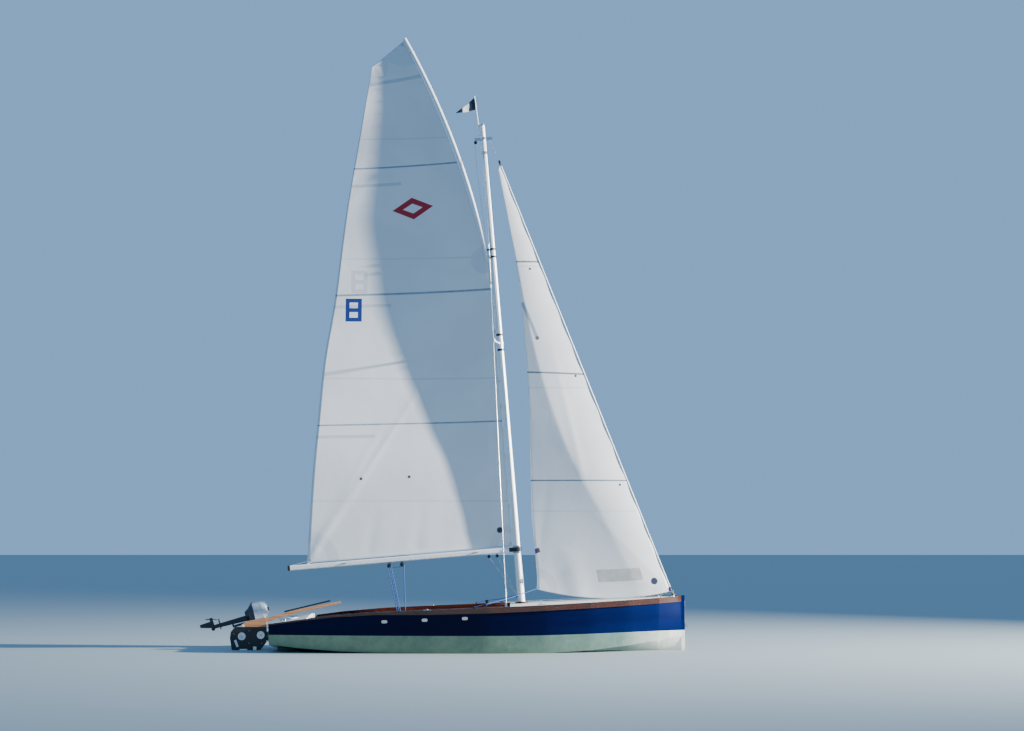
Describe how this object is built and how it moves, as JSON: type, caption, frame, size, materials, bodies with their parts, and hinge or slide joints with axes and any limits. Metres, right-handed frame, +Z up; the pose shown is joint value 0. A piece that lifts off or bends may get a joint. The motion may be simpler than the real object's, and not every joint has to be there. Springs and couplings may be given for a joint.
{
  "type": "sailing dinghy",
  "caption": "Open wooden sailing dinghy afloat: decked bow, curved yard on a raked mast, mainsail and boom, furling jib, hung rudder, centreboard and a tilted outboard.",
  "frame": {"origin": "on the centreplane at the waterline, amidships between the transom and the stem", "axes": "+X to the bow, +Y to port, +Z up"},
  "size_m": [7.2231, 2.018, 10.1187],
  "materials": {
    "hull_paint": "gloss blue and white paint",
    "varnished_wood": "gloss varnish",
    "deck_paint": "satin paint",
    "floor_wood": "bare wood",
    "alloy_spar": "satin",
    "stainless": "polished",
    "black_plastic": "matte",
    "sailcloth": "smooth woven cloth",
    "flag_cloth": "woven cloth",
    "dark_paint": "satin",
    "motor_paint": "gloss",
    "bronze": "worn"
  },
  "bodies": {
    "hull": {"topside_port": "hull_paint", "topside_starboard": "hull_paint", "bottom_planking": "hull_paint", "transom": "hull_paint", "stem_post": "hull_paint", "bow_eye": "stainless", "keel": "hull_paint", "rubbing_strakes": "varnished_wood", "foredeck": "deck_paint", "aft_deck": "deck_paint", "side_decks": "deck_paint", "coamings": "varnished_wood", "aft_bulkhead": "deck_paint", "forward_bulkhead": "deck_paint", "floor_bearers": "floor_wood", "floorboards": "floor_wood", "side_benches": "varnished_wood", "bench_brackets": "deck_paint", "thwart": "varnished_wood", "centreboard_case": "deck_paint", "mast_step": "floor_wood", "mast": "alloy_spar", "mast_partner": "varnished_wood", "mast_bands": "stainless", "masthead": "stainless", "chainplates": "stainless", "shrouds": "stainless", "spreaders": "alloy_spar", "forestay": "stainless", "furling_drum": "black_plastic", "stemhead_eye": "stainless", "jib": "sailcloth", "burgee_staff": "alloy_spar", "burgee": "flag_cloth", "scuppers": "stainless", "gudgeons": "stainless", "outboard_bracket": "stainless", "outboard_pad": "varnished_wood", "outboard_clamp": "dark_paint"},
    "rig": {"boom": "alloy_spar", "boom_collar": "black_plastic", "boom_cap": "black_plastic", "yard": "alloy_spar", "yard_parrels": "black_plastic", "mainsail": "sailcloth"},
    "rudder": {"pintles": "stainless", "rudder_cheeks": "dark_paint", "rudder_head": "varnished_wood", "tiller": "varnished_wood", "tiller_extension": "black_plastic"},
    "blade": {"rudder_blade": "dark_paint"},
    "board": {"centreboard": "varnished_wood"},
    "motor_swivel": {"outboard_swivel": "dark_paint"},
    "motor": {"outboard_leg": "motor_paint", "outboard_gearcase": "motor_paint", "outboard_pan": "motor_paint", "outboard_cowl": "motor_paint"},
    "screw": {"propeller": "dark_paint"}
  },
  "joints": [
    {"name": "boom_swing", "type": "hinge", "parent": "hull", "child": "rig", "pos_m": [0.5509, 0, 1.462], "axis": [-0.0825, 0, 0.9966], "range_deg": [-60, 60]},
    {"name": "rudder_steer", "type": "hinge", "parent": "hull", "child": "rudder", "pos_m": [-3.05, 0, 0.2], "axis": [0, 0, 1], "range_deg": [-35, 35]},
    {"name": "blade_lift", "type": "hinge", "parent": "rudder", "child": "blade", "pos_m": [-3.467, 0, 0.2], "axis": [0, 1, 0], "range_deg": [0, 60]},
    {"name": "centreboard_lift", "type": "hinge", "parent": "hull", "child": "board", "pos_m": [0.15, 0, -0.06], "axis": [0, 1, 0], "range_deg": [0, 68]},
    {"name": "motor_tilt", "type": "hinge", "parent": "hull", "child": "motor_swivel", "pos_m": [-3.465, 0.5, 0.345], "axis": [0, 1, 0], "range_deg": [-75, 0]},
    {"name": "motor_steer", "type": "hinge", "parent": "motor_swivel", "child": "motor", "pos_m": [-3.47225, 0.5, 0.37205], "axis": [0.9659, 0, 0.2588], "range_deg": [-30, 30]},
    {"name": "propeller_spin", "type": "hinge", "parent": "motor", "child": "screw", "pos_m": [-4.01004, 0.5, 0.41636], "axis": [0.2588, 0, -0.9659], "continuous": true}
  ]
}
